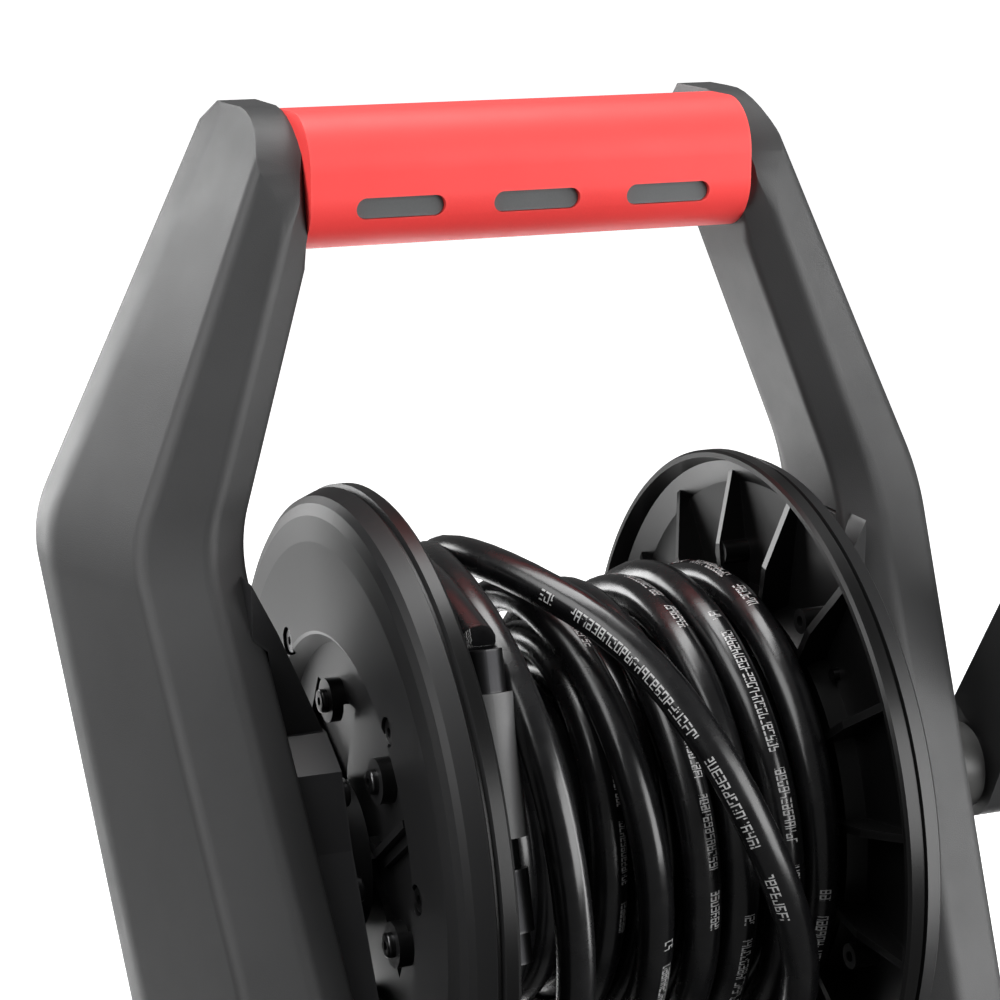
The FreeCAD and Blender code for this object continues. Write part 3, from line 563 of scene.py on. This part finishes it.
# The outer layer and the loose turns over it: angle, place along the axis, radius.
OUTER_TURNS = [
    (90, -13, 76), (130, -6, 72), (180, 0, 72), (270, 4, 72), (360, 5, 72),
    (450, 8, 73), (490, 12, 72), (540, 15.5, 72), (630, 20, 72), (720, 24, 72),
    (810, 26.5, 72), (900, 28, 72), (1080, 33, 72), (1170, 36.5, 76), (1215, 40, 73), (1260, 43.5, 72.5),
    (1440, 51, 72.5), (1530, 54, 74), (1620, 55, 73),
    (1690, 50, 76), (1780, 22, 88), (1845, -24, 90), (1890, -34, 90), (1911, -13, 90), (1930, 3, 91),
    (1951, 15.5, 92), (1972, 29, 92), (1991, 41, 91), (2030, 44, 90), (2110, 30, 89), (2200, -20, 88),
    (2250, -43.5, 89), (2285, -41, 90), (2315, -37, 90), (2345, -33.5, 90), (2370, -31, 89),
    (2430, -31, 88), (2520, -42, 88), (2590, -50, 88), (2628, -51.2, 92), (2645, -51.5, 98.5),
]


def hose_lie():
    """(angle, place, radius) stations of the hose, from the outlet to the fitting."""
    lie = []
    angle = HOSE_START_ANGLE
    for turn, x, radius in INNER_TURNS:
        angle += turn
        lie.append((angle, x, radius))
    first = 360.0 * math.ceil(angle / 360.0)
    for place, x, radius in OUTER_TURNS:
        lie.append((first + place, x, radius))
    return lie


def lie_at(lie, angle):
    """Place and radius at an angle, eased from one station to the next."""
    for (a0, x0, r0), (a1, x1, r1) in zip(lie, lie[1:]):
        if a0 <= angle <= a1 + 1e-6:
            share = (angle - a0) / (a1 - a0)
            ease = share * share * (3.0 - 2.0 * share)
            return x0 + (x1 - x0) * (0.5 * share + 0.5 * ease), r0 + (r1 - r0) * ease


def hose_route():
    """Control points of the wound hose, from the outlet to the fitting."""
    lie = hose_lie()
    span = lie[-1][0] - lie[0][0]
    count = int(span * TURN_POINTS / 360.0)
    points = []
    for index in range(count + 1):
        angle = lie[0][0] + span * index / count
        x, radius = lie_at(lie, angle)
        points.append(on_drum(x, radius * OUT_TO_LINE, angle))
    return points


def line_length(curve):
    """Length of a curve's line, read from the curve without its thickness."""
    line = curve.copy()
    line.bevel_depth = 0.0
    probe = add_object("probe", line)
    bpy.context.view_layer.update()
    mesh = bpy.data.meshes.new_from_object(probe.evaluated_get(bpy.context.evaluated_depsgraph_get()))
    verts = [vertex.co for vertex in mesh.vertices]
    length = sum((b - a).length for a, b in zip(verts, verts[1:]))
    bpy.data.objects.remove(probe)
    bpy.data.meshes.remove(mesh)
    return length


def add_hose():
    points = hose_route()
    curve = bpy.data.curves.new("hose", "CURVE")
    curve.dimensions = "3D"
    spline = curve.splines.new("NURBS")
    spline.points.add(len(points) - 1)
    for control, point in zip(spline.points, points):
        control.co = (*point, 1.0)
    spline.order_u = 3
    spline.use_endpoint_u = True
    spline.resolution_u = 4
    curve.bevel_depth = HOSE_DIAMETER / 2 * MM
    curve.bevel_resolution = 6
    curve.use_fill_caps = True
    hose = add_object("hose", curve)
    length = line_length(curve)
    curve.materials.append(hose_material(length))
    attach(hose, "drum")
    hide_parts("hose_winding")
    return hose, length


# --- camera, light and floor ---------------------------------------------------
def add_camera():
    camera = add_object("camera", bpy.data.cameras.new("camera"))
    camera.location = DRUM + Vector((-0.3268, -0.7547, 0.3098))
    camera.rotation_euler = (math.radians(76.12), 0.0, math.radians(-22.05))
    camera.data.lens = 97.67
    camera.data.sensor_width = 36.0
    camera.data.dof.use_dof = False
    bpy.context.scene.camera = camera


def add_softbox(name, centre, size, power):
    """A rectangular light that points at the drum."""
    light = bpy.data.lights.new(name, "AREA")
    light.shape = "RECTANGLE"
    light.size, light.size_y = size
    light.energy = power
    lamp = add_object(name, light)
    lamp.location = centre
    lamp.rotation_euler = (DRUM - centre).to_track_quat("-Z", "Y").to_euler()


def add_stage_piece(name, verts, faces, colour, glow):
    """A glowing surface round the cart that lights nothing and shows in no reflection."""
    mesh = bpy.data.meshes.new(name)
    mesh.from_pydata(verts, [], faces)
    piece = add_object(name, mesh)
    n = Nodes(name)
    pale = tuple(0.97 * c for c in colour)
    n.link(n.mix(n.noise(3.0), pale, colour), n.shader.inputs["Base Color"])
    n.shader.inputs["Roughness"].default_value = 0.85
    n.shader.inputs["Emission Color"].default_value = (1.0, 1.0, 1.0, 1.0)
    n.shader.inputs["Emission Strength"].default_value = glow
    mesh.materials.append(n.material)
    piece.visible_diffuse = False
    piece.visible_glossy = False
    return piece, n


def add_backdrop():
    """A far white wall all round, seen by the camera only."""
    radius, height, count = 24.0, 30.0, 48
    verts = []
    for z in (-0.5, height):
        for index in range(count):
            turn = 2 * math.pi * index / count
            verts.append((radius * math.cos(turn), radius * math.sin(turn), z))
    faces = []
    for index in range(count):
        after = (index + 1) % count
        faces.append((index, after, count + after, count + index))
    faces.append(tuple(range(count, 2 * count)))
    wall, _ = add_stage_piece("backdrop", verts, faces, (0.9, 0.9, 0.9), 1.0)
    wall.visible_shadow = False


def add_reflector():
    """A bright card lying behind the cart; it lights the cart but the camera doesn't see it."""
    centre = at(-20, 860, -376)
    corners = ((-0.5, -0.6), (0.5, -0.6), (0.5, 0.6), (-0.5, 0.6))
    verts = [centre + Vector((x, y, 0)) for x, y in corners]
    card, _ = add_stage_piece("reflector", verts, [(0, 1, 2, 3)], (0.9, 0.9, 0.9), 2.0)
    card.visible_camera = False
    card.visible_shadow = False
    card.visible_diffuse = True
    card.visible_glossy = True


def add_world():
    world = bpy.data.worlds.new("studio")
    world.use_nodes = True
    background = world.node_tree.nodes["Background"]
    background.inputs["Color"].default_value = (1.0, 1.0, 1.0, 1.0)
    background.inputs["Strength"].default_value = 0.15
    bpy.context.scene.world = world


def add_floor():
    """A floor that glows less close to the cart, where its shadow lies."""
    size = 40.0
    verts = [(-size, -size, 0), (size, -size, 0), (size, size, 0), (-size, size, 0)]
    _, n = add_stage_piece("floor", verts, [(0, 1, 2, 3)], (0.93, 0.93, 0.93), 1.0)
    distance = n.add("ShaderNodeVectorMath", operation="LENGTH")
    n.link(n.place, distance.inputs[0])
    glow = n.span(distance.outputs["Value"], 0.3, 0.7, 0.45, 1.0)
    n.link(glow, n.shader.inputs["Emission Strength"])


def add_studio():
    add_world()
    add_softbox("left", at(-1250, -250, 850), (1.1, 1.3), 19.0)
    add_softbox("right", at(1250, -480, 60), (0.45, 1.2), 12.0)
    add_softbox("top", at(-60, 250, 1450), (1.3, 0.6), 20.0)
    add_softbox("rear left", at(-780, 1250, 230), (0.6, 0.8), 14.0)
    add_softbox("front", at(900, -1200, 420), (1.1, 1.0), 20.0)
    add_floor()
    add_reflector()
    add_backdrop()
    bpy.context.scene.view_settings.view_transform = "Standard"


dress_cad_nodes()
add_side_frames()
hose, hose_length = add_hose()
add_camera()
add_studio()
